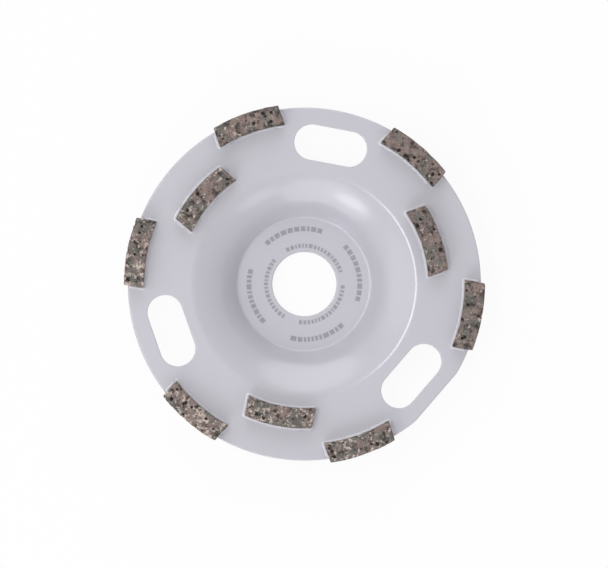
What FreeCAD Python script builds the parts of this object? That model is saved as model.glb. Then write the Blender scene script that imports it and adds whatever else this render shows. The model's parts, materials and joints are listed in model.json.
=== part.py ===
import FreeCAD, Part
import os
from math import atan2, cos, hypot, pi, radians, sin, sqrt

import Sketcher

# Diamond cup wheel, 125 mm over the segments, for a 22.23 mm grinder spindle.
# A dished steel cup carries nine sintered diamond segments on its flat rim:
# six at the edge, and three further in that alternate with three open slots.
# +Z is the spindle axis and points out of the grinding side.
# The origin is the centre of the hub's back face, on which the wheel lies.

# Driving sizes: alias, value in millimetres, degrees or pieces, and what it is
DRIVING_SIZES = [
    ("bore_diameter", 22.23, "spindle hole"),
    ("bore_bevel", 0.4, "bevel at both ends of the spindle hole"),
    ("hub_face_diameter", 46.4, "flat nut seat at the bottom of the bowl"),
    ("hub_thickness", 5.0, "plate between the grinder flange and the nut"),
    ("rim_diameter", 122.0, "steel cup, without segments"),
    ("rim_face_width", 22.4, "flat of the rim, from the bowl's mouth to the edge"),
    ("bowl_depth", 12.0, "from the flat rim down to the nut seat"),
    ("bowl_wall_turn", 43.0, "angle that the bowl's wall turns through, seen in section"),
    ("plate_thickness", 4.0, "rim, and bowl wall measured square to it"),
    ("rim_bevel", 0.5, "broken outer edges of the rim"),
    ("hub_foot_bevel", 0.8, "inside corner between nut seat and bowl"),
    ("mouth_radius", 5.0, "soft edge between bowl and flat rim"),
    ("boss_corner_radius", 5.0, "inside corner behind it, between boss and rim"),
    ("boss_bevel", 1.0, "broken edge of the hub's back face"),
    ("slot_count", 3, "slots; there are as many inner segments, and twice the outer ones"),
    ("first_slot_angle", 90.0, "direction of the first slot from +X"),
    ("slot_length", 25.3, "end to end"),
    ("slot_width", 12.2, "across the flats"),
    ("slot_setback", 12.3, "rim's edge to the middle of a slot"),
    ("slot_bevel", 0.4, "bevel round both mouths of a slot"),
    ("balance_flat_depth", 1.0, "flat ground into the rim to balance the wheel"),
    ("balance_slot", 2, "slots to turn past the first to reach that flat"),
    ("outer_setback", -1.5, "rim's edge to the outer face of the outer segments, which stand over it"),
    ("inner_setback", 11.0, "rim's edge to the outer face of the inner segments"),
    ("segment_length", 24.0, "between the parallel ends"),
    ("segment_thickness", 7.4, "between the curved faces"),
    ("segment_height", 4.85, "seat to grinding face"),
    ("braze_gap", 0.15, "solder between segment and rim"),
    ("bead_foot", 0.7, "how far the solder bead spreads on the rim"),
    ("bead_lip", 0.1, "what is left of the bead at its top"),
    ("bead_height", 0.6, "bead above the rim"),
]

Z_AXIS = FreeCAD.Vector(0, 0, 1)
START, END, CENTRE = 1, 2, 3
ORIGIN_POINT = (-1, 1)
FULL_TURN = 360
TOLERANCE = 0.001


def make_sheet(doc):
    sheet = doc.addObject("Spreadsheet::Sheet", "Sizes")
    for row, (alias, value, meaning) in enumerate(DRIVING_SIZES, start=1):
        sheet.set(f"A{row}", meaning)
        sheet.set(f"B{row}", str(value))
        sheet.setAlias(f"B{row}", alias)
    doc.recompute()
    return sheet


def in_plane(x, y):
    return FreeCAD.Vector(x, y, 0)


def add_line(sketch, start, end):
    return sketch.addGeometry(Part.LineSegment(in_plane(*start), in_plane(*end)), False)


def add_arc(sketch, centre, radius, start_angle, end_angle):
    """Arc from start_angle round to end_angle, anticlockwise, in radians."""
    circle = Part.Circle(in_plane(*centre), Z_AXIS, radius)
    return sketch.addGeometry(Part.ArcOfCircle(circle, start_angle, end_angle), False)


def constrain(sketch, kind, *references):
    return sketch.addConstraint(Sketcher.Constraint(kind, *references))


def drive(sketch, name, expression, kind, *references):
    """Adds a dimension and ties it to the sheet."""
    number = constrain(sketch, kind, *references)
    sketch.renameConstraint(number, name)
    sketch.setExpression(f"Constraints.{name}", expression)


def join_ends(sketch, kind, outline):
    """Ties each edge's end to the next one's start, all round a closed outline.

    The outline lists (edge, first point, last point) in the order of travel.
    """
    for (edge, _, last), (following, first, _) in zip(outline, outline[1:] + outline[:1]):
        constrain(sketch, kind, edge, last, following, first)


def new_sketch(body, name, plane_role):
    plane = next(item for item in body.Origin.OriginFeatures if item.Role == plane_role)
    sketch = body.newObject("Sketcher::SketchObject", name)
    sketch.AttachmentSupport = (plane, [""])
    sketch.MapMode = "FlatFace"
    return sketch


def ring_edges(shape, radius, height):
    """Names of the circles round the spindle axis with this radius and height."""
    names = []
    for number, edge in enumerate(shape.Edges, start=1):
        curve = edge.Curve
        if not isinstance(curve, Part.Circle):
            continue
        on_axis = sqrt(curve.Center.x ** 2 + curve.Center.y ** 2) < TOLERANCE
        same_radius = abs(curve.Radius - radius) < TOLERANCE
        if on_axis and same_radius and abs(curve.Center.z - height) < TOLERANCE:
            names.append(f"Edge{number}")
    return names


def bevel_edges(body, name, edge_names, size_alias):
    base = body.Tip
    chamfer = body.newObject("PartDesign::Chamfer", name)
    chamfer.Base = (base, edge_names)
    chamfer.setExpression("Size", f"Sizes.{size_alias}")
    body.Document.recompute()
    return chamfer


# Cup: the section that is turned round the spindle axis

class CupSection:
    """Where the corners of the cup's section come to lie, for sketching and finding edges."""

    def __init__(self, sheet):
        self.bore = sheet.bore_diameter / 2
        self.hub = sheet.hub_face_diameter / 2
        self.rim = sheet.rim_diameter / 2
        self.mouth = self.rim - sheet.rim_face_width
        self.hub_face = float(sheet.hub_thickness)
        self.rim_face = self.hub_face + sheet.bowl_depth
        self.rim_back = self.rim_face - sheet.plate_thickness
        # The bowl's wall is one arc from the nut seat to the mouth, bulging into the bowl
        run = self.mouth - self.hub
        rise = self.rim_face - self.hub_face
        half_turn = radians(sheet.bowl_wall_turn) / 2
        self.bowl_radius = hypot(run, rise) / 2 / sin(half_turn)
        foot_slope = atan2(rise, run) + half_turn
        self.curve_centre = (self.hub + self.bowl_radius * sin(foot_slope),
                             self.hub_face - self.bowl_radius * cos(foot_slope))
        # The back of the wall runs parallel to the bowl
        self.boss_radius = self.bowl_radius - sheet.plate_thickness
        across, up = self.curve_centre
        self.boss = across - sqrt(self.boss_radius ** 2 - up ** 2)
        # Where the wall runs out into the rim, a smaller arc touches both
        self.mouth_rounding = float(sheet.mouth_radius)
        self.mouth_centre = self.rounding_centre(self.bowl_radius, self.rim_face, self.mouth_rounding)
        self.corner_rounding = float(sheet.boss_corner_radius)
        self.corner_centre = self.rounding_centre(self.boss_radius, self.rim_back, self.corner_rounding)

    def rounding_centre(self, wall_radius, face_height, rounding):
        across, up = self.curve_centre
        height = face_height - rounding
        reach = sqrt((wall_radius - rounding) ** 2 - (height - up) ** 2)
        return across - reach, height

    def angle_from_centre(self, point):
        across, up = self.curve_centre
        return atan2(point[1] - up, point[0] - across)


def draw_cup_section(sketch, cup):
    touch_back = cup.angle_from_centre(cup.corner_centre)
    touch_front = cup.angle_from_centre(cup.mouth_centre)
    hub_back = add_line(sketch, (cup.bore, 0), (cup.boss, 0))
    boss_wall = add_arc(sketch, cup.curve_centre, cup.boss_radius,
                        touch_back, cup.angle_from_centre((cup.boss, 0)))
    boss_corner = add_arc(sketch, cup.corner_centre, cup.corner_rounding, pi / 2, touch_back)
    rim_back = add_line(sketch, (cup.corner_centre[0], cup.rim_back), (cup.rim, cup.rim_back))
    rim_side = add_line(sketch, (cup.rim, cup.rim_back), (cup.rim, cup.rim_face))
    rim_face = add_line(sketch, (cup.rim, cup.rim_face), (cup.mouth_centre[0], cup.rim_face))
    mouth_edge = add_arc(sketch, cup.mouth_centre, cup.mouth_rounding, pi / 2, touch_front)
    bowl_wall = add_arc(sketch, cup.curve_centre, cup.bowl_radius,
                        touch_front, cup.angle_from_centre((cup.hub, cup.hub_face)))
    nut_seat = add_line(sketch, (cup.hub, cup.hub_face), (cup.bore, cup.hub_face))
    bore_wall = add_line(sketch, (cup.bore, cup.hub_face), (cup.bore, 0))
    sharp_mouth = sketch.addGeometry(Part.Point(in_plane(cup.mouth, cup.rim_face)), True)

    for edge, last, following, first in (
            (rim_back, END, rim_side, START), (rim_side, END, rim_face, START),
            (bowl_wall, END, nut_seat, START), (nut_seat, END, bore_wall, START),
            (bore_wall, END, hub_back, START), (hub_back, END, boss_wall, END)):
        constrain(sketch, "Coincident", edge, last, following, first)
    for edge, last, following, first in (
            (boss_wall, START, boss_corner, END), (boss_corner, START, rim_back, START),
            (rim_face, END, mouth_edge, START), (mouth_edge, END, bowl_wall, START)):
        constrain(sketch, "Tangent", edge, last, following, first)
    for flat in (hub_back, rim_back, rim_face, nut_seat):
        constrain(sketch, "Horizontal", flat)
    for upright in (rim_side, bore_wall):
        constrain(sketch, "Vertical", upright)
    constrain(sketch, "PointOnObject", hub_back, START, -1)
    constrain(sketch, "Coincident", boss_wall, CENTRE, bowl_wall, CENTRE)
    for edge in (rim_face, bowl_wall):
        constrain(sketch, "PointOnObject", sharp_mouth, START, edge)

    drive(sketch, "bore", "Sizes.bore_diameter / 2",
          "DistanceX", *ORIGIN_POINT, hub_back, START, cup.bore)
    drive(sketch, "hub_thickness", "Sizes.hub_thickness",
          "DistanceY", bore_wall, END, bore_wall, START, cup.hub_face)
    drive(sketch, "hub_face", "Sizes.hub_face_diameter / 2",
          "DistanceX", *ORIGIN_POINT, nut_seat, START, cup.hub)
    drive(sketch, "rim_face_width", "Sizes.rim_face_width",
          "DistanceX", sharp_mouth, START, rim_face, START, cup.rim - cup.mouth)
    drive(sketch, "mouth_rounding", "Sizes.mouth_radius", "Radius", mouth_edge, cup.mouth_rounding)
    drive(sketch, "corner_rounding", "Sizes.boss_corner_radius", "Radius", boss_corner, cup.corner_rounding)
    drive(sketch, "bowl_depth", "Sizes.bowl_depth",
          "DistanceY", nut_seat, START, rim_face, END, cup.rim_face - cup.hub_face)
    drive(sketch, "rim", "Sizes.rim_diameter / 2",
          "DistanceX", *ORIGIN_POINT, rim_side, START, cup.rim)
    drive(sketch, "rim_thickness", "Sizes.plate_thickness",
          "DistanceY", rim_side, START, rim_side, END, cup.rim_face - cup.rim_back)
    run = "(Sizes.rim_diameter / 2 - Sizes.rim_face_width - Sizes.hub_face_diameter / 2)"
    bowl_radius = f"sqrt({run} ^ 2 + Sizes.bowl_depth ^ 2) / 2 / sin(Sizes.bowl_wall_turn / 2)"
    drive(sketch, "bowl_curve", bowl_radius, "Radius", bowl_wall, cup.bowl_radius)
    drive(sketch, "boss_curve", f"{bowl_radius} - Sizes.plate_thickness",
          "Radius", boss_wall, cup.boss_radius)


# Slots and balance flat: what is cut through the rim

def draw_slot(sketch, cup, sheet):
    """Obround centred on the sketch's +Y axis, long side along the tangent."""
    reach = (sheet.slot_length - sheet.slot_width) / 2
    half_width = sheet.slot_width / 2
    middle = cup.rim - sheet.slot_setback
    right_end = add_arc(sketch, (reach, middle), half_width, -pi / 2, pi / 2)
    left_end = add_arc(sketch, (-reach, middle), half_width, pi / 2, 3 * pi / 2)
    outer_side = add_line(sketch, (reach, middle + half_width), (-reach, middle + half_width))
    inner_side = add_line(sketch, (-reach, middle - half_width), (reach, middle - half_width))
    join_ends(sketch, "Tangent", [
        (right_end, START, END), (outer_side, START, END), (left_end, START, END), (inner_side, START, END)])
    constrain(sketch, "Horizontal", outer_side)
    constrain(sketch, "Symmetric", right_end, CENTRE, left_end, CENTRE, -2)
    drive(sketch, "slot_reach", "Sizes.slot_length - Sizes.slot_width",
          "DistanceX", left_end, CENTRE, right_end, CENTRE, 2 * reach)
    drive(sketch, "slot_end", "Sizes.slot_width / 2", "Radius", right_end, half_width)
    drive(sketch, "slot_circle", "Sizes.rim_diameter / 2 - Sizes.slot_setback",
          "DistanceY", *ORIGIN_POINT, right_end, CENTRE, middle)


def draw_balance_cut(sketch, cup, sheet):
    """Rectangle over the rim's edge, whose inner side is the ground flat, square to +Y."""
    flat = cup.rim - sheet.balance_flat_depth
    outside = cup.rim + sheet.balance_flat_depth
    half_width = cup.rim / 2
    inner = add_line(sketch, (-half_width, flat), (half_width, flat))
    right = add_line(sketch, (half_width, flat), (half_width, outside))
    outer = add_line(sketch, (half_width, outside), (-half_width, outside))
    left = add_line(sketch, (-half_width, outside), (-half_width, flat))
    join_ends(sketch, "Coincident", [(side, START, END) for side in (inner, right, outer, left)])
    constrain(sketch, "Symmetric", inner, START, inner, END, -2)
    constrain(sketch, "Horizontal", outer)
    for upright in (left, right):
        constrain(sketch, "Vertical", upright)
    drive(sketch, "flat", "Sizes.rim_diameter / 2 - Sizes.balance_flat_depth",
          "DistanceY", *ORIGIN_POINT, inner, START, flat)
    drive(sketch, "depth", "Sizes.balance_flat_depth * 2",
          "DistanceY", right, START, right, END, outside - flat)
    drive(sketch, "width", "Sizes.rim_diameter / 2",
          "DistanceX", inner, START, inner, END, 2 * half_width)


def turn_sketch(sketch, expression, angle):
    """Turns a sketch of the rim plane round the spindle axis."""
    sketch.AttachmentOffset = FreeCAD.Placement(FreeCAD.Vector(), FreeCAD.Rotation(Z_AXIS, angle))
    sketch.setExpression("AttachmentOffset.Rotation.Angle", expression)


def cut_through(body, name, sketch):
    """Cuts a sketch right through the rim, and makes sure that it did cut."""
    before = body.Tip.Shape.Volume
    pocket = body.newObject("PartDesign::Pocket", name)
    pocket.Profile = sketch
    pocket.Type = "ThroughAll"
    pocket.Midplane = True
    body.Document.recompute()
    if pocket.Shape.Volume >= before:
        raise ValueError(f"{name} cuts nothing")
    return pocket


def slot_edges(shape, cup, sheet):
    """Names of the edges round both mouths of every slot."""
    names = []
    for number, edge in enumerate(shape.Edges, start=1):
        middle = edge.CenterOfMass
        level = min(abs(middle.z - cup.rim_face), abs(middle.z - cup.rim_back)) < TOLERANCE
        curve = edge.Curve
        centre = curve.Center if isinstance(curve, Part.Circle) else middle
        round_the_axis = in_plane(centre.x, centre.y).Length < TOLERANCE
        distance = in_plane(middle.x, middle.y).Length
        beside_slot = abs(cup.rim - sheet.slot_setback - distance) < sheet.slot_width / 2 + TOLERANCE
        if level and beside_slot and not round_the_axis:
            names.append(f"Edge{number}")
    return names


def make_cup_body(doc, sheet):
    cup = CupSection(sheet)
    body = doc.addObject("PartDesign::Body", "CupBody")
    body.Label = "cup_body"

    section = new_sketch(body, "CupSection", "XZ_Plane")
    draw_cup_section(section, cup)
    turned = body.newObject("PartDesign::Revolution", "TurnedCup")
    turned.Profile = section
    turned.ReferenceAxis = (section, ["V_Axis"])
    turned.Angle = FULL_TURN
    doc.recompute()

    bevel_edges(body, "HubFoot", ring_edges(body.Tip.Shape, cup.hub, cup.hub_face), "hub_foot_bevel")
    bevel_edges(body, "BossBevel", ring_edges(body.Tip.Shape, cup.boss, 0), "boss_bevel")
    bore_ends = ring_edges(body.Tip.Shape, cup.bore, 0) + ring_edges(body.Tip.Shape, cup.bore, cup.hub_face)
    bevel_edges(body, "BoreBevel", bore_ends, "bore_bevel")

    slot = new_sketch(body, "SlotOutline", "XY_Plane")
    draw_slot(slot, cup, sheet)
    turn_sketch(slot, "Sizes.first_slot_angle - 90", sheet.first_slot_angle - 90)
    first_slot = cut_through(body, "FirstSlot", slot)
    slots = body.newObject("PartDesign::PolarPattern", "Slots")
    slots.Originals = [first_slot]
    slots.Axis = (slot, ["N_Axis"])
    slots.Angle = FULL_TURN
    slots.setExpression("Occurrences", "Sizes.slot_count")
    body.Tip = slots
    doc.recompute()
    bevel_edges(body, "SlotBevel", slot_edges(body.Tip.Shape, cup, sheet), "slot_bevel")

    balance = new_sketch(body, "BalanceCut", "XY_Plane")
    draw_balance_cut(balance, cup, sheet)
    turn_sketch(balance,
                f"Sizes.first_slot_angle - 90 + {FULL_TURN} * Sizes.balance_slot / Sizes.slot_count",
                sheet.first_slot_angle - 90 + FULL_TURN * sheet.balance_slot / sheet.slot_count)
    cut_through(body, "BalanceFlat", balance)
    bevel_edges(body, "RimBevel", rim_edges(body.Tip.Shape, cup), "rim_bevel")
    return body


def rim_edges(shape, cup):
    """Names of the outermost edges at the rim's two faces, the balance flat's among them."""
    names = []
    for number, edge in enumerate(shape.Edges, start=1):
        middle = edge.CenterOfMass
        level = min(abs(middle.z - cup.rim_face), abs(middle.z - cup.rim_back)) < TOLERANCE
        ends = [in_plane(vertex.X, vertex.Y).Length for vertex in edge.Vertexes]
        if level and min(ends) > cup.rim - TOLERANCE:
            names.append(f"Edge{number}")
    return names


# Segments: curved bars with parallel ends, sintered in a mould

def draw_segment_outline(sketch, sheet, setback_alias, margin_alias=None):
    """Outline of one segment, lying across +X and grown all round by the margin."""
    ring = sheet.rim_diameter / 2 - getattr(sheet, setback_alias)
    ring_expression = f"Sizes.rim_diameter / 2 - Sizes.{setback_alias}"
    margin = float(getattr(sheet, margin_alias)) if margin_alias else 0.0
    grow = f" + Sizes.{margin_alias}" if margin_alias else ""
    shrink = f" - Sizes.{margin_alias}" if margin_alias else ""
    outer = ring + margin
    inner = ring - sheet.segment_thickness - margin
    half = sheet.segment_length / 2 + margin
    outer_x = sqrt(outer ** 2 - half ** 2)
    inner_x = sqrt(inner ** 2 - half ** 2)
    outer_turn = atan2(half, outer_x)
    inner_turn = atan2(half, inner_x)

    outer_face = add_arc(sketch, (0, 0), outer, -outer_turn, outer_turn)
    left_end = add_line(sketch, (outer_x, half), (inner_x, half))
    inner_face = add_arc(sketch, (0, 0), inner, -inner_turn, inner_turn)
    right_end = add_line(sketch, (inner_x, -half), (outer_x, -half))
    join_ends(sketch, "Coincident", [
        (outer_face, START, END), (left_end, START, END), (inner_face, END, START), (right_end, START, END)])
    for end in (left_end, right_end):
        constrain(sketch, "Horizontal", end)
    for face in (outer_face, inner_face):
        constrain(sketch, "Coincident", face, CENTRE, *ORIGIN_POINT)
    drive(sketch, "outer_face", f"{ring_expression}{grow}", "Radius", outer_face, outer)
    drive(sketch, "inner_face", f"{ring_expression} - Sizes.segment_thickness{shrink}",
          "Radius", inner_face, inner)
    drive(sketch, "left_half", f"Sizes.segment_length / 2{grow}",
          "DistanceY", *ORIGIN_POINT, left_end, START, half)
    drive(sketch, "right_half", f"Sizes.segment_length / 2{grow}",
          "DistanceY", right_end, START, *ORIGIN_POINT, half)


def place_on_rim(body, angle_expression, angle, height_expression, height):
    body.Placement = FreeCAD.Placement(FreeCAD.Vector(0, 0, height), FreeCAD.Rotation(Z_AXIS, angle))
    body.setExpression("Placement.Base.z", height_expression)
    body.setExpression("Placement.Rotation.Angle", angle_expression)


def make_segment(doc, sheet, name, setback_alias, angle_expression, angle):
    body = doc.addObject("PartDesign::Body", "Segment")
    body.Label = name
    outline = new_sketch(body, "SegmentOutline", "XY_Plane")
    draw_segment_outline(outline, sheet, setback_alias)
    bar = body.newObject("PartDesign::Pad", "SinteredBar")
    bar.Profile = outline
    bar.setExpression("Length", "Sizes.segment_height")
    place_on_rim(body, angle_expression, angle,
                 "Sizes.hub_thickness + Sizes.bowl_depth + Sizes.braze_gap",
                 sheet.hub_thickness + sheet.bowl_depth + sheet.braze_gap)
    doc.recompute()
    return body


def make_braze(doc, sheet, name, setback_alias, segment, seat, angle_expression, angle):
    """Solder under a segment and the bead round its foot, no wider than the rim's flat."""
    blank = doc.addObject("PartDesign::Body", "BrazeBlank")
    blank.Label = f"{name} blank"
    outline = new_sketch(blank, "BeadOutline", "XY_Plane")
    draw_segment_outline(outline, sheet, setback_alias, "bead_foot")
    bead = blank.newObject("PartDesign::Pad", "Bead")
    bead.Profile = outline
    bead.setExpression("Length", "Sizes.bead_height")
    bead.setExpression("TaperAngle", "-atan((Sizes.bead_foot - Sizes.bead_lip) / Sizes.bead_height)")
    place_on_rim(blank, angle_expression, angle,
                 "Sizes.hub_thickness + Sizes.bowl_depth", sheet.hub_thickness + sheet.bowl_depth)
    on_rim = doc.addObject("Part::Common", "BrazeOnRim")
    on_rim.Label = f"{name} on the rim"
    on_rim.Base = blank
    on_rim.Tool = seat
    braze = doc.addObject("Part::Cut", "Braze")
    braze.Label = name
    braze.Base = on_rim
    braze.Tool = segment
    doc.recompute()
    return braze


def make_rim_seat(doc):
    """Disc as wide as the rim inside its broken edge, and twice as high as the solder."""
    seat = doc.addObject("Part::Cylinder", "RimSeat")
    seat.Label = "rim seat"
    seat.setExpression("Radius", "Sizes.rim_diameter / 2 - Sizes.rim_bevel")
    seat.setExpression("Height", "Sizes.bead_height * 2")
    seat.setExpression("Placement.Base.z", "Sizes.hub_thickness + Sizes.bowl_depth")
    doc.recompute()
    return seat


def make_ring(doc, sheet, ring, setback_alias, count, count_expression, seat):
    """Segments of one ring, each half a step past a slot, with their solder."""
    pieces = []
    for number in range(1, count + 1):
        steps = number - 0.5
        expression = f"Sizes.first_slot_angle + {FULL_TURN} * {steps} / ({count_expression})"
        angle = sheet.first_slot_angle + FULL_TURN * steps / count
        segment = make_segment(doc, sheet, f"{ring}_segment_{number}", setback_alias, expression, angle)
        braze = make_braze(doc, sheet, f"{ring}_braze_{number}", setback_alias, segment, seat,
                           expression, angle)
        pieces += [segment, braze]
    return pieces


def check_document(doc, pieces):
    for item in doc.Objects:
        if "Invalid" in item.State or "Error" in item.State:
            raise ValueError(f"{item.Label} failed: {item.State}")
    for piece in pieces:
        shape = piece.Shape
        if shape.isNull() or not shape.isValid() or len(shape.Solids) != 1:
            raise ValueError(f"{piece.Label} is not one valid solid")


def main():
    doc = FreeCAD.newDocument("DiamondCupWheel")
    sheet = make_sheet(doc)
    slot_count = int(sheet.slot_count)
    cup = make_cup_body(doc, sheet)
    seat = make_rim_seat(doc)
    outer = make_ring(doc, sheet, "outer", "outer_setback",
                      2 * slot_count, "2 * Sizes.slot_count", seat)
    inner = make_ring(doc, sheet, "inner", "inner_setback",
                      slot_count, "Sizes.slot_count", seat)
    pieces = [cup] + outer + inner
    doc.recompute()
    check_document(doc, pieces)
    os.makedirs("parts", exist_ok=True)
    for piece in pieces:
        piece.Shape.exportStep(f"parts/{piece.Label}.step")
        print(piece.Label, "volume", round(piece.Shape.Volume, 1), "mm3")


main()
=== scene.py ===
import json
from functools import partial
from math import atan2, cos, hypot, pi, radians, sin, sqrt, tau

import bmesh
import bpy
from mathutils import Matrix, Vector


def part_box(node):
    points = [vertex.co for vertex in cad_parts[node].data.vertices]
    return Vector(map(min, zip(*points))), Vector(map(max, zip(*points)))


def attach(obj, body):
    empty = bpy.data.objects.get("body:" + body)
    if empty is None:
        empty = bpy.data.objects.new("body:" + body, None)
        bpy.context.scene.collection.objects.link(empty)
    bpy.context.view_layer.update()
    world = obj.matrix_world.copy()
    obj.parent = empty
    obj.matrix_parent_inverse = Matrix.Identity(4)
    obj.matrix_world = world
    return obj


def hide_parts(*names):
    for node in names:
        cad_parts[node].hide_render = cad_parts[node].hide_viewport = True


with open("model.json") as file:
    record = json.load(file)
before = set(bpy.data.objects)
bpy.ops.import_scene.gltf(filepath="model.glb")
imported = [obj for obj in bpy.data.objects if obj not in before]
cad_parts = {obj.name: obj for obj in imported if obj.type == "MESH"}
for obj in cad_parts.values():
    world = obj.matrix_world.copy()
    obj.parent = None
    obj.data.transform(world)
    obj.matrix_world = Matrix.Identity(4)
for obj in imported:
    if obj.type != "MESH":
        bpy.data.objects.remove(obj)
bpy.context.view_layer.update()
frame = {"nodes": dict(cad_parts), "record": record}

# Diamond cup wheel, lying on its hub with the grinding side up, seen from straight above

mm = 0.001


def linearColour(hexCode):
    channels = [int(hexCode[i:i + 2], 16) / 255 for i in (1, 3, 5)]
    return tuple(c / 12.92 if c <= 0.04045 else ((c + 0.055) / 1.055) ** 2.4 for c in channels) + (1.0,)


def addNode(tree, kind, settings=None, inputs=None):
    # an input is a number, a colour, a material, a socket, or a node whose first output is meant
    node = tree.nodes.new(kind)
    for name, value in (settings or {}).items():
        setattr(node, name, value)
    for key, value in (inputs or {}).items():
        if isinstance(value, bpy.types.Node):
            value = next(output for output in value.outputs if output.enabled)
        if isinstance(value, bpy.types.NodeSocket):
            tree.links.new(value, node.inputs[key])
        else:
            node.inputs[key].default_value = value
    return node


def mountNamed(name):
    return next(mount for mount in frame["record"]["mounts"] if mount["name"] == name)


# Camera: a long lens square on to the wheel

cameraSetup = {
    "turn": 10.7,              # degrees; the photo's upright is turned this far from the wheel's +Y
    "height": 3000 * mm,       # above the rim
    "viewWidth": 210 * mm,     # seen across the picture at the rim
    "sensor": 36.0,
    "photoWidth": 608,         # pixels
    "offMiddle": (-0.4, 0.1),  # pixels that the wheel sits off the picture's middle
    "clip": (0.05, 20.0),      # metres
}


def makeCamera():
    data = bpy.data.cameras.new("photoCamera")
    camera = bpy.data.objects.new("photoCamera", data)
    bpy.context.scene.collection.objects.link(camera)
    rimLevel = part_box("cup_body")[1].z
    camera.location = (0, 0, rimLevel + cameraSetup["height"])
    camera.rotation_euler = (0, 0, radians(cameraSetup["turn"]))
    data.sensor_width = cameraSetup["sensor"]
    data.lens = cameraSetup["sensor"] * cameraSetup["height"] / cameraSetup["viewWidth"]
    right, up = cameraSetup["offMiddle"]
    data.shift_x = right / cameraSetup["photoWidth"]
    data.shift_y = up / cameraSetup["photoWidth"]
    data.clip_start, data.clip_end = cameraSetup["clip"]
    bpy.context.scene.camera = camera
    print("camera ready")


# Studio: white floor, white surroundings and soft lamps

# each lamp: degrees round from the photo's right side, degrees above the floor, metres away, metres
# wide and high, and what it gives a face that looks up; with the sky's light that comes to about 1.1
lamps = {
    "softbox": {"from": 180, "up": 74.5, "away": 1.3, "wide": 0.8, "high": 0.26, "share": 0.2},
    "sidePanel": {"from": 180, "up": 36, "away": 1.5, "wide": 1.3, "high": 1.3, "share": 0.07},
    "topPanel": {"from": 93, "up": 25, "away": 1.5, "wide": 1.6, "high": 1.6, "share": 0.16},
    "fillPanel": {"from": 255, "up": 24, "away": 1.6, "wide": 1.6, "high": 1.6, "share": 0.12},
    "lowLamp": {"from": 240, "up": 31, "away": 1.3, "wide": 0.42, "high": 0.42, "share": 0.035},
    "farLamp": {"from": 298, "up": 37, "away": 1.3, "wide": 0.5, "high": 0.4, "share": 0.022},
}
studio = {
    "skyLight": 0.49,
    "floorWidth": 12.0,
    "floorLevel": -0.1 * mm,  # clear of the hub's back
    "floorShine": 0.92,       # share of the floor's white that the camera sees without shadow
    "floorWhite": "#f4f4f4",
}


def addLamp(name, place):
    azimuth = radians(place["from"] + cameraSetup["turn"])
    height = radians(place["up"])
    away = Vector((cos(azimuth) * cos(height), sin(azimuth) * cos(height), sin(height)))
    data = bpy.data.lights.new(name, "AREA")
    data.shape = "ELLIPSE"
    data.size, data.size_y = place["wide"], place["high"]
    data.energy = place["share"] * pi ** 2 * place["away"] ** 2 / sin(height)
    lamp = bpy.data.objects.new(name, data)
    lamp.location = away * place["away"]
    lamp.rotation_mode = "QUATERNION"
    lamp.rotation_quaternion = away.to_track_quat("Z", "Y")
    bpy.context.scene.collection.objects.link(lamp)


def seenDirectly(tree):
    # 1 for rays that the camera, a reflection or glass sends out, 0 for light on the object
    node = partial(addNode, tree)
    path = node("ShaderNodeLightPath")
    mirrored = node("ShaderNodeMath", {"operation": "MAXIMUM"}, {
        0: path.outputs["Is Glossy Ray"], 1: path.outputs["Is Transmission Ray"]})
    return node("ShaderNodeMath", {"operation": "MAXIMUM"}, {
        0: path.outputs["Is Camera Ray"], 1: mirrored})


def makeStudio():
    world = bpy.data.worlds.new("whiteRoom")
    bpy.context.scene.world = world
    world.use_nodes = True
    world.node_tree.nodes.clear()
    node = partial(addNode, world.node_tree)
    white = node("ShaderNodeBackground", {}, {"Color": (1, 1, 1, 1), "Strength": 1.0})
    sky = node("ShaderNodeBackground", {}, {"Color": (1, 1, 1, 1), "Strength": studio["skyLight"]})
    mixed = node("ShaderNodeMixShader", {}, {0: seenDirectly(world.node_tree), 1: sky, 2: white})
    node("ShaderNodeOutputWorld", {}, {"Surface": mixed})

    mesh = bpy.data.meshes.new("floor")
    half, level = studio["floorWidth"] / 2, studio["floorLevel"]
    corners = [(-half, -half, level), (half, -half, level), (half, half, level), (-half, half, level)]
    mesh.from_pydata(corners, [], [(0, 1, 2, 3)])
    floor = bpy.data.objects.new("floor", mesh)
    bpy.context.scene.collection.objects.link(floor)
    paper = bpy.data.materials.new("whitePaper")
    paper.use_nodes = True
    tree = paper.node_tree
    tree.nodes.clear()
    node = partial(addNode, tree)
    matt = node("ShaderNodeBsdfDiffuse", {}, {"Color": linearColour(studio["floorWhite"])})
    glow = node("ShaderNodeEmission", {}, {"Color": (1, 1, 1, 1), "Strength": 1.0})
    share = node("ShaderNodeMath", {"operation": "MULTIPLY"}, {
        0: seenDirectly(tree), 1: studio["floorShine"]})
    mixed = node("ShaderNodeMixShader", {}, {0: share, 1: matt, 2: glow})
    node("ShaderNodeOutputMaterial", {}, {"Surface": mixed})
    mesh.materials.append(paper)

    for name, place in lamps.items():
        addLamp(name, place)
    bpy.context.scene.view_settings.view_transform = "Standard"
    print("studio ready")


# Finishes

powderCoat = {
    "silverGrey": "#c6c5ce",
    "cloudy": "#c0bfc7",      # the coat's thinner places
    "cloudSize": 26 * mm,
    "peelSize": 1.6 * mm,     # orange peel of a cured powder coat
    "peelDepth": 0.012 * mm,
    "flakeSize": 0.25 * mm,   # drawn coarser than real flakes, or it wouldn't show
    "metallic": 0.05,
    "roughness": 0.19,
    "roughnessSpread": 0.03,
}
# the solder's coat is the cup's powder coat painted lighter, a painted highlight for the pale lines
# round the segments' feet, with finer clouds
solderCoatPaintedLight = dict(powderCoat, silverGrey="#d8d7dd", cloudy="#bfbec6", cloudSize=3 * mm)


def newMaterial(name):
    material = bpy.data.materials.new(name)
    material.use_nodes = True
    material.node_tree.nodes.clear()
    coords = addNode(material.node_tree, "ShaderNodeTexCoord").outputs["Object"]
    return material, coords, partial(addNode, material.node_tree)


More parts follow.
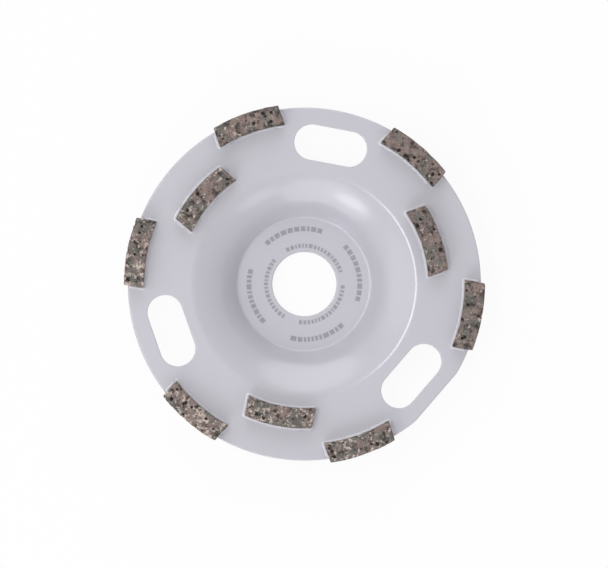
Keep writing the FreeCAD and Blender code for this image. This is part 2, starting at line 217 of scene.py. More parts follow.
def makePowderCoat(name, look):
    # aluminium-silver powder coat on turned steel: even pale grey, soft broad sheen, faint orange peel
    material, coords, node = newMaterial(name)
    clouds = node("ShaderNodeTexNoise", {}, {
        "Vector": coords, "Scale": 1 / look["cloudSize"], "Detail": 2.0})
    colour = node("ShaderNodeMix", {"data_type": "RGBA"}, {
        0: clouds.outputs["Fac"], 6: linearColour(look["cloudy"]), 7: linearColour(look["silverGrey"])})
    flakes = node("ShaderNodeTexNoise", {}, {
        "Vector": coords, "Scale": 1 / look["flakeSize"], "Detail": 1.0})
    rough = node("ShaderNodeMapRange", {}, {
        "Value": flakes.outputs["Fac"],
        "To Min": look["roughness"] - look["roughnessSpread"],
        "To Max": look["roughness"] + look["roughnessSpread"]})
    peel = node("ShaderNodeTexNoise", {}, {
        "Vector": coords, "Scale": 1 / look["peelSize"], "Detail": 1.0})
    bump = node("ShaderNodeBump", {}, {"Height": peel.outputs["Fac"], "Distance": look["peelDepth"]})
    shader = node("ShaderNodeBsdfPrincipled", {}, {
        "Base Color": colour, "Metallic": look["metallic"], "Roughness": rough, "Normal": bump})
    node("ShaderNodeOutputMaterial", {}, {"Surface": shader})
    return material


sinteredMetal = {
    "pinkGrey": "#85746f",
    # painted shade: the colour that the insides of pits and pores are darkened to
    "pitBlack": "#100c0b",
    # laid over the pink grey in this order; each starts and is full at these values of its noise
    "layers": {
        "greenGrey": {"colour": "#686560", "size": 7 * mm, "start": 0.44, "full": 0.6, "wear": 0.0},
        "brownMottle": {"colour": "#2b2321", "size": 2.4 * mm, "start": 0.56, "full": 0.3, "wear": 0.0},
        # the pale grains' side share is painted glint: they grow more frequent towards one side of the
        # wheel
        "paleGrain": {"colour": "#c2b4ab", "size": 1.4 * mm, "start": 0.55, "full": 0.7, "wear": 0.06},
        "brownSpeck": {"colour": "#2b2321", "size": 0.4 * mm, "start": 0.5, "full": 0.25, "wear": 0.0},
    },
    "wornSide": radians(240),  # painted glints: pale grains show more on this side of the wheel, towards the low lamp
    "wearReach": 60 * mm,
    "metallic": 0.2,
    "roughness": 0.62,
}


def makeSinteredMetal():
    # cobalt and bronze powder pressed hot in a mould: dull brown grey, mottled, with open pores whose
    # insides are painted near-black as shade
    material, coords, node = newMaterial("sinteredMatrix")
    side, reach = sinteredMetal["wornSide"], sinteredMetal["wearReach"]
    # painted highlight: a ramp across the wheel, strongest towards the low lamp's side, lifts the noise
    # of the pale grains
    wear = node("ShaderNodeVectorMath", {"operation": "DOT_PRODUCT"}, {
        0: coords, 1: (cos(side) / reach, sin(side) / reach, 0)}).outputs["Value"]
    colour = linearColour(sinteredMetal["pinkGrey"])
    for layer in sinteredMetal["layers"].values():
        noise = node("ShaderNodeTexNoise", {}, {
            "Vector": coords, "Scale": 1 / layer["size"], "Detail": 2.0, "Roughness": 0.6})
        glinted = node("ShaderNodeMath", {"operation": "MULTIPLY_ADD"}, {
            0: wear, 1: layer["wear"], 2: noise.outputs["Fac"]})
        share = node("ShaderNodeMapRange", {"interpolation_type": "SMOOTHSTEP"}, {
            "Value": glinted, "From Min": layer["start"], "From Max": layer["full"]})
        colour = node("ShaderNodeMix", {"data_type": "RGBA"}, {
            0: share, 6: colour, 7: linearColour(layer["colour"])})
    # painted shade: pits and pores darken towards near-black with their depth share
    pit = node("ShaderNodeAttribute", {"attribute_name": "pitDepth"})
    colour = node("ShaderNodeMix", {"data_type": "RGBA"}, {
        0: pit.outputs["Fac"], 6: colour, 7: linearColour(sinteredMetal["pitBlack"])})
    shader = node("ShaderNodeBsdfPrincipled", {}, {
        "Base Color": colour,
        "Metallic": sinteredMetal["metallic"],
        "Roughness": sinteredMetal["roughness"]})
    node("ShaderNodeOutputMaterial", {}, {"Surface": shader})
    return material


diamondGrit = {
    "yellowGreen": "#a39c88",
    "dulled": "#786f67",
    "tintSize": 2 * mm,
    "lightBend": 2.0,  # its IOR: diamond's 2.4, lowered by the dust on it
    "roughness": 0.25,
}


def makeDiamondGrit():
    # synthetic diamond crystals, half buried: pale yellow green and glassy, dulled by the matrix
    material, coords, node = newMaterial("diamondGrit")
    tint = node("ShaderNodeTexNoise", {}, {
        "Vector": coords, "Scale": 1 / diamondGrit["tintSize"], "Detail": 1.0})
    colour = node("ShaderNodeMix", {"data_type": "RGBA"}, {
        0: tint.outputs["Fac"],
        6: linearColour(diamondGrit["dulled"]),
        7: linearColour(diamondGrit["yellowGreen"])})
    shader = node("ShaderNodeBsdfPrincipled", {}, {
        "Base Color": colour, "IOR": diamondGrit["lightBend"], "Roughness": diamondGrit["roughness"]})
    node("ShaderNodeOutputMaterial", {}, {"Surface": shader})
    return material


# Pieces grown by node trees

def newTree(name, sizes):
    tree = bpy.data.node_groups.new(name, "GeometryNodeTree")
    tree.interface.new_socket("Geometry", in_out="INPUT", socket_type="NodeSocketGeometry")
    for label, value in sizes.items():
        kind = "NodeSocketInt" if isinstance(value, int) else "NodeSocketFloat"
        tree.interface.new_socket(label, in_out="INPUT", socket_type=kind)
    tree.interface.new_socket("Geometry", in_out="OUTPUT", socket_type="NodeSocketGeometry")
    return tree, tree.nodes.new("NodeGroupInput").outputs, partial(addNode, tree)


def growPiece(name, tree, sizes, start):
    # runs the tree on the start mesh and leaves a plain mesh
    piece = bpy.data.objects.new(name, start)
    bpy.context.scene.collection.objects.link(piece)
    modifier = piece.modifiers.new("shape", "NODES")
    modifier.node_group = tree
    for item in tree.interface.items_tree:
        if item.in_out == "INPUT" and item.name in sizes:
            modifier[item.identifier] = sizes[item.name]
    grown = piece.evaluated_get(bpy.context.evaluated_depsgraph_get())
    mesh = bpy.data.meshes.new_from_object(grown)
    piece.modifiers.clear()
    piece.data = mesh
    mesh.name = name
    return piece


def turnFacesOutward(mesh):
    shape = bmesh.new()
    shape.from_mesh(mesh)
    bmesh.ops.recalc_face_normals(shape, faces=shape.faces)
    shape.to_mesh(mesh)
    shape.free()


def bendOntoRing(node, flat, middleRadius, turn):
    # along the bar becomes the chord, across it the radius, so the ends stay parallel
    parts = node("ShaderNodeSeparateXYZ", {}, {0: flat})
    radius = node("ShaderNodeMath", {"operation": "ADD"}, {0: parts.outputs["Y"], 1: middleRadius})
    radiusSquared = node("ShaderNodeMath", {"operation": "MULTIPLY"}, {0: radius, 1: radius})
    along = parts.outputs["X"]
    alongSquared = node("ShaderNodeMath", {"operation": "MULTIPLY"}, {0: along, 1: along})
    inside = node("ShaderNodeMath", {"operation": "SUBTRACT"}, {0: radiusSquared, 1: alongSquared})
    outward = node("ShaderNodeMath", {"operation": "SQRT"}, {0: inside})
    chord = node("ShaderNodeMath", {"operation": "MULTIPLY"}, {0: along, 1: -1.0})
    bent = node("ShaderNodeCombineXYZ", {}, {0: outward, 1: chord, 2: parts.outputs["Z"]})
    return node("ShaderNodeVectorRotate", {"rotation_type": "Z_AXIS"}, {"Vector": bent, "Angle": turn})


# Cup: a turned section, three slots and a flat ground off the rim's edge

cup = {
    "hubFaceRadius": 23.2 * mm,
    "rimFaceWidth": 22.4 * mm,
    "bowlTurn": radians(43),    # how far the bowl's arc turns between hub and mouth
    "plate": 4.0 * mm,
    "mouthRounding": 5.0 * mm,
    "backCornerRounding": 5.0 * mm,
    "hubFootRounding": 1.2 * mm,
    "hubBackRounding": 1.0 * mm,
    "rimRounding": 0.5 * mm,
    "slotRounding": 0.3 * mm,
    "boreRounding": 0.3 * mm,
    "slotLength": 25.3 * mm,
    "slotWidth": 12.2 * mm,
    "slotEndShare": 0.495,      # end radius by width: just under half, so that no points meet
    "slotSetback": 12.3 * mm,   # from the rim's edge to the slot's middle
    "slotCount": 3,
    "firstSlot": radians(90),
    "flatDepth": 1.0 * mm,
    "flatTurn": radians(330),
    "stepsRound": 360,
    "wallSteps": 40,            # in the bowl's arc and the boss's
    "mouthSteps": 12,
    "footSteps": 10,
    "cornerSteps": 16,          # in the back corner and each slot corner
    "hubBackSteps": 8,
    "rimSteps": 5,
    "edgeSteps": 4,             # in the small roundings of bore and slots
    "pathRadius": 40 * mm,      # of the circle that carries the section
    "longStretch": 1.5 * mm,    # straight lines past this get narrow steps at their ends
    "holdWidth": 0.15 * mm,
    "mergeReach": 0.002 * mm,   # joins the filled faces to the swept edges
}


def arcPoints(centre, radius, fromAngle, toAngle, steps):
    angles = [fromAngle + (toAngle - fromAngle) * step / steps for step in range(steps + 1)]
    return [(centre[0] + radius * cos(a), centre[1] + radius * sin(a)) for a in angles]


def holdStraights(line):
    # narrow steps at both ends of a long straight stretch keep its shading flat
    held = line[:1]
    for start, end in zip(line, line[1:]):
        length = hypot(end[0] - start[0], end[1] - start[1])
        if length > cup["longStretch"]:
            step = cup["holdWidth"] / length
            held += [(start[0] + (end[0] - start[0]) * share, start[1] + (end[1] - start[1]) * share)
                     for share in (step, 1 - step)]
        held.append(end)
    return held


def cupSection():
    # outline of the turned part as (radius, height), from the rim's face round to its back
    bore = mountNamed("spindle_bore")["dims"]["r_mm"] * mm
    hubFace = mountNamed("nut_seat")["pos_m"][2]
    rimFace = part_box("cup_body")[1].z
    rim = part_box("cup_body")[1].y
    rimBack = rimFace - cup["plate"]
    hub, mouth = cup["hubFaceRadius"], rim - cup["rimFaceWidth"]
    run, rise = mouth - hub, rimFace - hubFace
    bowlRadius = hypot(run, rise) / 2 / sin(cup["bowlTurn"] / 2)
    footSlope = atan2(rise, run) + cup["bowlTurn"] / 2
    middle = (hub + bowlRadius * sin(footSlope), hubFace - bowlRadius * cos(footSlope))
    bossRadius = bowlRadius - cup["plate"]

    def outsideCorner(wallRadius, level, rounding):
        # centre of an arc inside the wall's circle that touches it and the flat at this level
        height = level - rounding
        return middle[0] - sqrt((wallRadius - rounding) ** 2 - (height - middle[1]) ** 2), height

    def insideCorner(wallRadius, level, rounding):
        # the same for an arc outside the circle, with the flat below it
        height = level + rounding
        return middle[0] - sqrt((wallRadius + rounding) ** 2 - (height - middle[1]) ** 2), height

    def towards(start, end):
        return atan2(end[1] - start[1], end[0] - start[0])

    mouthCentre = outsideCorner(bowlRadius, rimFace, cup["mouthRounding"])
    footCentre = insideCorner(bowlRadius, hubFace, cup["hubFootRounding"])
    cornerCentre = outsideCorner(bossRadius, rimBack, cup["backCornerRounding"])
    bossFoot = middle[0] - sqrt(bossRadius ** 2 - middle[1] ** 2)
    edge, soft = cup["boreRounding"], cup["hubBackRounding"]
    fromMouth, toFoot = towards(middle, mouthCentre), towards(middle, footCentre)
    fromBack, toCorner = towards(middle, (bossFoot, soft)), towards(middle, cornerCentre)
    points = arcPoints(mouthCentre, cup["mouthRounding"], pi / 2, fromMouth, cup["mouthSteps"])
    points += arcPoints(middle, bowlRadius, fromMouth, toFoot, cup["wallSteps"])[1:]
    points += arcPoints(footCentre, cup["hubFootRounding"],
                        towards(footCentre, middle), -pi / 2, cup["footSteps"])[1:]
    points += arcPoints((bore + edge, hubFace - edge), edge, pi / 2, pi, cup["edgeSteps"])
    points += arcPoints((bore + edge, edge), edge, pi, 3 * pi / 2, cup["edgeSteps"])
    points += arcPoints((bossFoot - soft, soft), soft, -pi / 2, 0, cup["hubBackSteps"])
    points += arcPoints(middle, bossRadius, fromBack, toCorner, cup["wallSteps"])[1:]
    points += arcPoints(cornerCentre, cup["backCornerRounding"],
                        toCorner, pi / 2, cup["cornerSteps"])[1:]
    return points, rim, rimFace, rimBack


def sectionMesh(lines):
    # the lines as edges, with y turned down because the sweep lays it so, and a mark on the slot's line
    mesh = bpy.data.meshes.new("sections")
    points, edges, marks = [], [], []
    for isSlotWall, line in lines:
        line = holdStraights(line)
        first = len(points)
        shift = 0 if isSlotWall else cup["pathRadius"]
        points += [(across - shift, -height, 0) for across, height in line]
        edges += [(first + i, first + i + 1) for i in range(len(line) - 1)]
        marks += [isSlotWall] * len(line)
    mesh.from_pydata(points, edges, [])
    mesh.attributes.new("slotWall", "BOOLEAN", "POINT").data.foreach_set("value", marks)
    return mesh


def cupTree(coat):
    sizes = {"Steps Round": 1, "Path Radius": 0.0, "Rim Radius": 0.0, "Rim Level": 0.0,
             "Back Level": 0.0, "Slot Length": 0.0, "Slot Width": 0.0, "Slot Radius": 0.0,
             "Slot Count": 1, "First Slot": 0.0, "Flat Depth": 0.0, "Flat Turn": 0.0}
    tree, given, node = newTree("turnedCup", sizes)
    slotWall = node("GeometryNodeInputNamedAttribute", {"data_type": "BOOLEAN"}, {"Name": "slotWall"})
    lines = node("GeometryNodeSeparateGeometry", {"domain": "POINT"}, {
        "Geometry": given["Geometry"], "Selection": slotWall})

    # the section, swept round the spindle axis
    wheelPath = node("GeometryNodeCurvePrimitiveCircle", {}, {
        "Resolution": given["Steps Round"], "Radius": given["Path Radius"]})
    section = node("GeometryNodeMeshToCurve", {}, {0: lines.outputs["Inverted"]})
    turned = node("GeometryNodeCurveToMesh", {}, {"Curve": wheelPath, "Profile Curve": section})

    # what reaches past the flat at the rim's edge is pushed back to it
    place = node("GeometryNodeInputPosition")
    flatWay = node("ShaderNodeVectorRotate", {"rotation_type": "Z_AXIS"}, {
        "Vector": (1.0, 0.0, 0.0), "Angle": given["Flat Turn"]})
    level = node("ShaderNodeVectorMath", {"operation": "MULTIPLY"}, {0: place, 1: (1.0, 1.0, 0.0)})
    radius = node("ShaderNodeVectorMath", {"operation": "LENGTH"}, {0: level}).outputs["Value"]
    reach = node("ShaderNodeVectorMath", {"operation": "DOT_PRODUCT"}, {
        0: place, 1: flatWay}).outputs["Value"]
    limit = node("ShaderNodeMath", {"operation": "SUBTRACT"}, {0: radius, 1: given["Flat Depth"]})
    excess = node("ShaderNodeMath", {"operation": "SUBTRACT"}, {0: limit, 1: reach})
    push = node("ShaderNodeMath", {"operation": "MINIMUM"}, {0: excess, 1: 0.0})
    back = node("ShaderNodeVectorMath", {"operation": "SCALE"}, {0: flatWay, "Scale": push})
    nearEdge = node("ShaderNodeMath", {"operation": "SUBTRACT"}, {
        0: given["Rim Radius"], 1: given["Flat Depth"]})
    atRim = node("ShaderNodeMath", {"operation": "GREATER_THAN"}, {0: radius, 1: nearEdge})
    flatted = node("GeometryNodeSetPosition", {}, {
        "Geometry": turned, "Selection": atRim, "Offset": back})

    # the slot's wall, swept round its outline and set out evenly
    outline = node("GeometryNodeCurvePrimitiveQuadrilateral", {}, {
        "Width": given["Slot Length"], "Height": given["Slot Width"]})
    endRadius = node("ShaderNodeMath", {"operation": "MULTIPLY"}, {
        0: given["Slot Width"], 1: cup["slotEndShare"]})
    obround = node("GeometryNodeFilletCurve", {"mode": "POLY"}, {
        "Curve": outline, "Count": cup["cornerSteps"], "Radius": endRadius, "Limit Radius": True})
    outward = node("ShaderNodeCombineXYZ", {}, {1: given["Slot Radius"]})
    outThere = node("GeometryNodeSetPosition", {}, {"Geometry": obround, "Offset": outward})
    wallLine = node("GeometryNodeMeshToCurve", {}, {0: lines.outputs["Selection"]})
    wall = node("GeometryNodeCurveToMesh", {}, {"Curve": outThere, "Profile Curve": wallLine})
    spots = node("GeometryNodePoints", {}, {"Count": given["Slot Count"]})
    index = node("GeometryNodeInputIndex")
    stepTurn = node("ShaderNodeMath", {"operation": "DIVIDE"}, {0: tau, 1: given["Slot Count"]})
    firstTurn = node("ShaderNodeMath", {"operation": "SUBTRACT"}, {0: given["First Slot"], 1: pi / 2})
    turn = node("ShaderNodeMath", {"operation": "MULTIPLY_ADD"}, {0: index, 1: stepTurn, 2: firstTurn})
    turnVector = node("ShaderNodeCombineXYZ", {}, {2: turn})
    walls = node("GeometryNodeInstanceOnPoints", {}, {
        "Points": spots, "Instance": wall, "Rotation": turnVector})
    realWalls = node("GeometryNodeRealizeInstances", {}, {0: walls})
    swept = node("GeometryNodeJoinGeometry")
    for part in (flatted, realWalls):
        tree.links.new(part.outputs[0], swept.inputs[0])
    smooth = node("GeometryNodeSetShadeSmooth", {}, {"Geometry": swept, "Shade Smooth": True})

    # the rim's two faces fill what is open between the swept edges
    neighbours = node("GeometryNodeInputMeshEdgeNeighbors")
    openEdge = node("ShaderNodeMath", {"operation": "LESS_THAN"}, {0: neighbours, 1: 1.5})  # one face
    height = node("ShaderNodeSeparateXYZ", {}, {0: place})
    between = node("ShaderNodeMath", {"operation": "ADD"}, {
        0: given["Rim Level"], 1: given["Back Level"]})
    halfWay = node("ShaderNodeMath", {"operation": "MULTIPLY"}, {0: between, 1: 0.5})
    closed = node("GeometryNodeJoinGeometry")
    tree.links.new(smooth.outputs[0], closed.inputs[0])
    for side, levelName in (("GREATER_THAN", "Rim Level"), ("LESS_THAN", "Back Level")):
        onSide = node("ShaderNodeMath", {"operation": side}, {0: height.outputs["Z"], 1: halfWay})
        chosen = node("ShaderNodeMath", {"operation": "MULTIPLY"}, {0: openEdge, 1: onSide})
        loops = node("GeometryNodeMeshToCurve", {}, {"Mesh": smooth, "Selection": chosen})
        face = node("GeometryNodeFillCurve", {"mode": "TRIANGLES"}, {"Curve": loops})
        lift = node("ShaderNodeCombineXYZ", {}, {2: given[levelName]})
        lifted = node("GeometryNodeSetPosition", {}, {"Geometry": face, "Offset": lift})
        plain = node("GeometryNodeSetShadeSmooth", {}, {"Geometry": lifted, "Shade Smooth": False})
        tree.links.new(plain.outputs[0], closed.inputs[0])
    merged = node("GeometryNodeMergeByDistance", {}, {
        "Geometry": closed, "Distance": cup["mergeReach"]})
    finished = node("GeometryNodeSetMaterial", {}, {"Geometry": merged, "Material": coat})
    node("NodeGroupOutput", {}, {0: finished})
    return tree


def makeCup(coat):
    section, rim, rimFace, rimBack = cupSection()
    edge, slotEdge = cup["rimRounding"], cup["slotRounding"]
    rimEdge = arcPoints((rim - edge, rimBack + edge), edge, -pi / 2, 0, cup["rimSteps"])
    rimEdge += arcPoints((rim - edge, rimFace - edge), edge, 0, pi / 2, cup["rimSteps"])
    slotWall = arcPoints((slotEdge, rimBack + slotEdge), slotEdge, 3 * pi / 2, pi, cup["edgeSteps"])
    slotWall += arcPoints((slotEdge, rimFace - slotEdge), slotEdge, pi, pi / 2, cup["edgeSteps"])
    lines = [(False, section), (False, rimEdge), (True, slotWall)]
    body = growPiece("paintedCup", cupTree(coat), {
        "Steps Round": cup["stepsRound"],
        "Path Radius": cup["pathRadius"],
        "Rim Radius": rim,
        "Rim Level": rimFace,
        "Back Level": rimBack,
        "Slot Length": cup["slotLength"],
        "Slot Width": cup["slotWidth"],
        "Slot Radius": rim - cup["slotSetback"],
        "Slot Count": cup["slotCount"],
        "First Slot": cup["firstSlot"],
        "Flat Depth": cup["flatDepth"],
        "Flat Turn": cup["flatTurn"],
    }, sectionMesh(lines))
    turnFacesOutward(body.data)
    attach(body, "root")
    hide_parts("cup_body")
    print("cup ready,", len(body.data.polygons), "faces")


# Segments: six at the rim's edge, three between the slots

rings = {
    "outer": {"count": 6, "firstTurn": 120},  # degrees
    "inner": {"count": 3, "firstTurn": 150},
}


def segmentPlaces():
    # every segment's ring, its number there, its turn round the wheel and a seed of its own
    seed = 0
    for ring, layout in rings.items():
        for number in range(1, layout["count"] + 1):
            seed += 1
            turn = layout["firstTurn"] + 360 * (number - 1) / layout["count"]
            yield ring, number, radians(turn), seed


def measureBar(nodeName, turn):
    # length, inner and outer radius of a bar that lies across the ring at this turn
    points = [vertex.co for vertex in frame["nodes"][nodeName].data.vertices]
    radii = [hypot(point.x, point.y) for point in points]
    along = [point.y * cos(turn) - point.x * sin(turn) for point in points]
    return 2 * max(along), min(radii), max(radii)


segmentBar = {
    "cell": 0.2 * mm,
    "cornerRadius": 0.45 * mm,
    "proud": 0.14 * mm,        # grit stands this far out of the matrix
    "gritSize": 0.5 * mm,      # 30 to 40 mesh diamond
    "smallestGrit": 0.6,       # as a share of the size
    "gritSpacing": 0.95 * mm,
    "gritShare": 0.8,          # of the places where a crystal could sit
    "gritLowest": -0.5,        # faces that look further down than this hold none
    "pitSpacing": 2.3 * mm,
    "pitShare": 0.6,           # of the cells of the pattern that hold a pit
    "smallPit": 0.2,           # radius as a share of the spacing
    "largePit": 0.38,
    "pitDepth": 0.55 * mm,
    "waveSize": 2.4 * mm,
    "waveDepth": 0.38 * mm,
    "waveStart": 0.42,         # a wave or a chip starts and is full at these values of its noise
    "waveFull": 0.72,
    "chipSize": 1.4 * mm,
    "chipDepth": 0.6 * mm,     # chips sit along the edges only
    "chipStart": 0.5,
    "chipFull": 0.66,
    "edgeReach": 0.85,         # 1 is a flat face, less is further round an edge: chips are full here
    "grainSize": 0.8 * mm,
    "grainDepth": 0.13 * mm,
    "patternStep": 50 * mm,    # from one segment's stretch of the patterns to the next one's
}


def segmentTree(matrix, diamond):
    sizes = {"Length": 0.0, "Thickness": 0.0, "Height": 0.0, "Foot Level": 0.0, "Middle Radius": 0.0,
             "Turn": 0.0, "Cell": 0.0, "Corner Radius": 0.0, "Grit Size": 0.0, "Seed": 1}
    tree, given, node = newTree("sinteredSegment", sizes)

    # a block of small cells, its corners rounded
    block = node("ShaderNodeCombineXYZ", {}, {
        0: given["Length"], 1: given["Thickness"], 2: given["Height"]})
    counts = [node("ShaderNodeMath", {"operation": "DIVIDE"}, {0: given[side], 1: given["Cell"]})
              for side in ("Length", "Thickness", "Height")]
    cube = node("GeometryNodeMeshCube", {}, {
        "Size": block, "Vertices X": counts[0], "Vertices Y": counts[1], "Vertices Z": counts[2]})
    halfBlock = node("ShaderNodeVectorMath", {"operation": "SCALE"}, {0: block, "Scale": 0.5})
    corner = node("ShaderNodeCombineXYZ", {}, {
        0: given["Corner Radius"], 1: given["Corner Radius"], 2: given["Corner Radius"]})
    core = node("ShaderNodeVectorMath", {"operation": "SUBTRACT"}, {0: halfBlock, 1: corner})
    minusCore = node("ShaderNodeVectorMath", {"operation": "SCALE"}, {0: core, "Scale": -1.0})
    place = node("GeometryNodeInputPosition")
    above = node("ShaderNodeVectorMath", {"operation": "MAXIMUM"}, {0: place, 1: minusCore})
    nearest = node("ShaderNodeVectorMath", {"operation": "MINIMUM"}, {0: above, 1: core})
    outOfCore = node("ShaderNodeVectorMath", {"operation": "SUBTRACT"}, {0: place, 1: nearest})
    outward = node("ShaderNodeVectorMath", {"operation": "NORMALIZE"}, {0: outOfCore})
    shell = node("ShaderNodeVectorMath", {"operation": "SCALE"}, {
        0: outward, "Scale": given["Corner Radius"]})
    rounded = node("ShaderNodeVectorMath", {"operation": "ADD"}, {0: nearest, 1: shell})

    # every bar reads its own stretch of the patterns
    seedShift = node("ShaderNodeMath", {"operation": "MULTIPLY"}, {
        0: given["Seed"], 1: segmentBar["patternStep"]})
    shift = node("ShaderNodeCombineXYZ", {}, {0: seedShift})
    sample = node("ShaderNodeVectorMath", {"operation": "ADD"}, {0: rounded, 1: shift})

    # pores and torn-out grit: some of the cells of a cell pattern, sunk
    cells = node("ShaderNodeTexVoronoi", {}, {"Vector": sample, "Scale": 1 / segmentBar["pitSpacing"]})
    luck = node("ShaderNodeSeparateXYZ", {}, {0: cells.outputs["Color"]})
    chosen = node("ShaderNodeMath", {"operation": "LESS_THAN"}, {
        0: luck.outputs["X"], 1: segmentBar["pitShare"]})
    reach = node("ShaderNodeMapRange", {}, {
        "Value": luck.outputs["Y"], "To Min": segmentBar["smallPit"], "To Max": segmentBar["largePit"]})
    reachInside = node("ShaderNodeMath", {"operation": "MULTIPLY"}, {0: reach, 1: 0.5})
    bowl = node("ShaderNodeMapRange", {"interpolation_type": "SMOOTHSTEP"}, {
        "Value": cells.outputs["Distance"], "From Min": reachInside, "From Max": reach,
        "To Min": 1.0, "To Max": 0.0})
    pit = node("ShaderNodeMath", {"operation": "MULTIPLY"}, {0: bowl, 1: chosen})

    # waviness, grain, and chips along the edges
    noises = {}
    for pattern, detail in (("wave", 1.0), ("grain", 2.0), ("chip", 1.0)):
        texture = node("ShaderNodeTexNoise", {}, {
            "Vector": sample, "Scale": 1 / segmentBar[pattern + "Size"], "Detail": detail})
        noises[pattern] = texture.outputs["Fac"]
    waves = node("ShaderNodeMapRange", {"interpolation_type": "SMOOTHSTEP"}, {
        "Value": noises["wave"],
        "From Min": segmentBar["waveStart"],
        "From Max": segmentBar["waveFull"]})
    chips = node("ShaderNodeMapRange", {"interpolation_type": "SMOOTHSTEP"}, {
        "Value": noises["chip"],
        "From Min": segmentBar["chipStart"],
        "From Max": segmentBar["chipFull"]})
    facing = node("ShaderNodeVectorMath", {"operation": "ABSOLUTE"}, {0: outward})
    facingParts = node("ShaderNodeSeparateXYZ", {}, {0: facing})
    squarely = facingParts.outputs["X"]
    for axis in "YZ":
        squarely = node("ShaderNodeMath", {"operation": "MAXIMUM"}, {
            0: squarely, 1: facingParts.outputs[axis]})
    atEdge = node("ShaderNodeMapRange", {"interpolation_type": "SMOOTHSTEP"}, {
        "Value": squarely, "From Min": 1.0, "From Max": segmentBar["edgeReach"]})
    chipped = node("ShaderNodeMath", {"operation": "MULTIPLY"}, {0: chips, 1: atEdge})
    depth = node("ShaderNodeMath", {"operation": "MULTIPLY"}, {0: pit, 1: segmentBar["pitDepth"]})
    for part, size in ((waves, "waveDepth"), (noises["grain"], "grainDepth"), (chipped, "chipDepth")):
        depth = node("ShaderNodeMath", {"operation": "MULTIPLY_ADD"}, {
            0: part, 1: segmentBar[size], 2: depth})
    inward = node("ShaderNodeMath", {"operation": "MULTIPLY"}, {0: depth, 1: -1.0})
    sunk = node("ShaderNodeVectorMath", {"operation": "SCALE"}, {0: outward, "Scale": inward})
    rough = node("ShaderNodeVectorMath", {"operation": "ADD"}, {0: rounded, 1: sunk})

    # onto the ring and up to its level
    halfHeight = node("ShaderNodeMath", {"operation": "MULTIPLY_ADD"}, {
        0: given["Height"], 1: 0.5, 2: given["Foot Level"]})
    lift = node("ShaderNodeCombineXYZ", {}, {2: halfHeight})
    lifted = node("ShaderNodeVectorMath", {"operation": "ADD"}, {0: rough, 1: lift})
    placed = bendOntoRing(node, lifted, given["Middle Radius"], given["Turn"])
    # the pits' depth share is kept on the points, and the finish paints shade into the pits from it
    tagged = node("GeometryNodeStoreNamedAttribute", {"data_type": "FLOAT", "domain": "POINT"}, {
        "Geometry": cube, "Name": "pitDepth", "Value": pit})
    bar = node("GeometryNodeSetPosition", {}, {"Geometry": tagged, "Position": placed})

    # diamond crystals, half buried in the faces that can be seen
    normal = node("GeometryNodeInputNormal")
    normalParts = node("ShaderNodeSeparateXYZ", {}, {0: normal})
    notBelow = node("ShaderNodeMath", {"operation": "GREATER_THAN"}, {
        0: normalParts.outputs["Z"], 1: segmentBar["gritLowest"]})
    points = node("GeometryNodeDistributePointsOnFaces", {"distribute_method": "POISSON"}, {
        "Mesh": bar, "Selection": notBelow, "Distance Min": segmentBar["gritSpacing"],
        "Density Max": 1 / segmentBar["gritSpacing"] ** 2, "Density Factor": segmentBar["gritShare"],
        "Seed": given["Seed"]})
    bury = node("ShaderNodeVectorMath", {"operation": "SCALE"}, {
        0: points.outputs["Normal"], "Scale": segmentBar["proud"] - segmentBar["gritSize"] / 2})
    buried = node("GeometryNodeSetPosition", {}, {"Geometry": points.outputs["Points"], "Offset": bury})
    radius = node("ShaderNodeMath", {"operation": "MULTIPLY"}, {0: given["Grit Size"], 1: 0.5})
    crystal = node("GeometryNodeMeshIcoSphere", {}, {"Radius": radius, "Subdivisions": 1})
    spin = node("FunctionNodeRandomValue", {"data_type": "FLOAT_VECTOR"}, {
        0: (0.0,) * 3, 1: (tau,) * 3, "Seed": given["Seed"]})
    growth = node("FunctionNodeRandomValue", {"data_type": "FLOAT_VECTOR"}, {
        0: (segmentBar["smallestGrit"],) * 3, 1: (1.0,) * 3, "Seed": given["Seed"]})
    crystals = node("GeometryNodeInstanceOnPoints", {}, {
        "Points": buried, "Instance": crystal, "Rotation": spin, "Scale": growth})
    realCrystals = node("GeometryNodeRealizeInstances", {}, {0: crystals})
    gritFinish = node("GeometryNodeSetMaterial", {}, {"Geometry": realCrystals, "Material": diamond})
    gritShade = node("GeometryNodeSetShadeSmooth", {}, {"Geometry": gritFinish, "Shade Smooth": False})
    barFinish = node("GeometryNodeSetMaterial", {}, {"Geometry": bar, "Material": matrix})
    both = node("GeometryNodeJoinGeometry")
    tree.links.new(gritShade.outputs[0], both.inputs[0])
    tree.links.new(barFinish.outputs[0], both.inputs[0])
    node("NodeGroupOutput", {}, {0: both})
    return tree


def makeSegments(matrix, diamond):
    tree = segmentTree(matrix, diamond)
    proud = segmentBar["proud"]
    for ring, number, turn, seed in segmentPlaces():
        nodeName = f"{ring}_segment_{number}"
        length, innerRadius, outerRadius = measureBar(nodeName, turn)
        low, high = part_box(nodeName)
        segment = growPiece(f"{ring}Segment{number}", tree, {
            "Length": length - 2 * proud,
            "Thickness": outerRadius - innerRadius - 2 * proud,
            "Height": high.z - low.z - proud,
            "Foot Level": low.z,
            "Middle Radius": (innerRadius + outerRadius) / 2,
            "Turn": turn,
            "Cell": segmentBar["cell"],
            "Corner Radius": segmentBar["cornerRadius"],
            "Grit Size": segmentBar["gritSize"],
            "Seed": seed,
        }, bpy.data.meshes.new("bar"))
        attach(segment, "root")
        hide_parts(nodeName)
    print("segments ready")


# Solder: a soft bead round the foot of each segment, under the paint

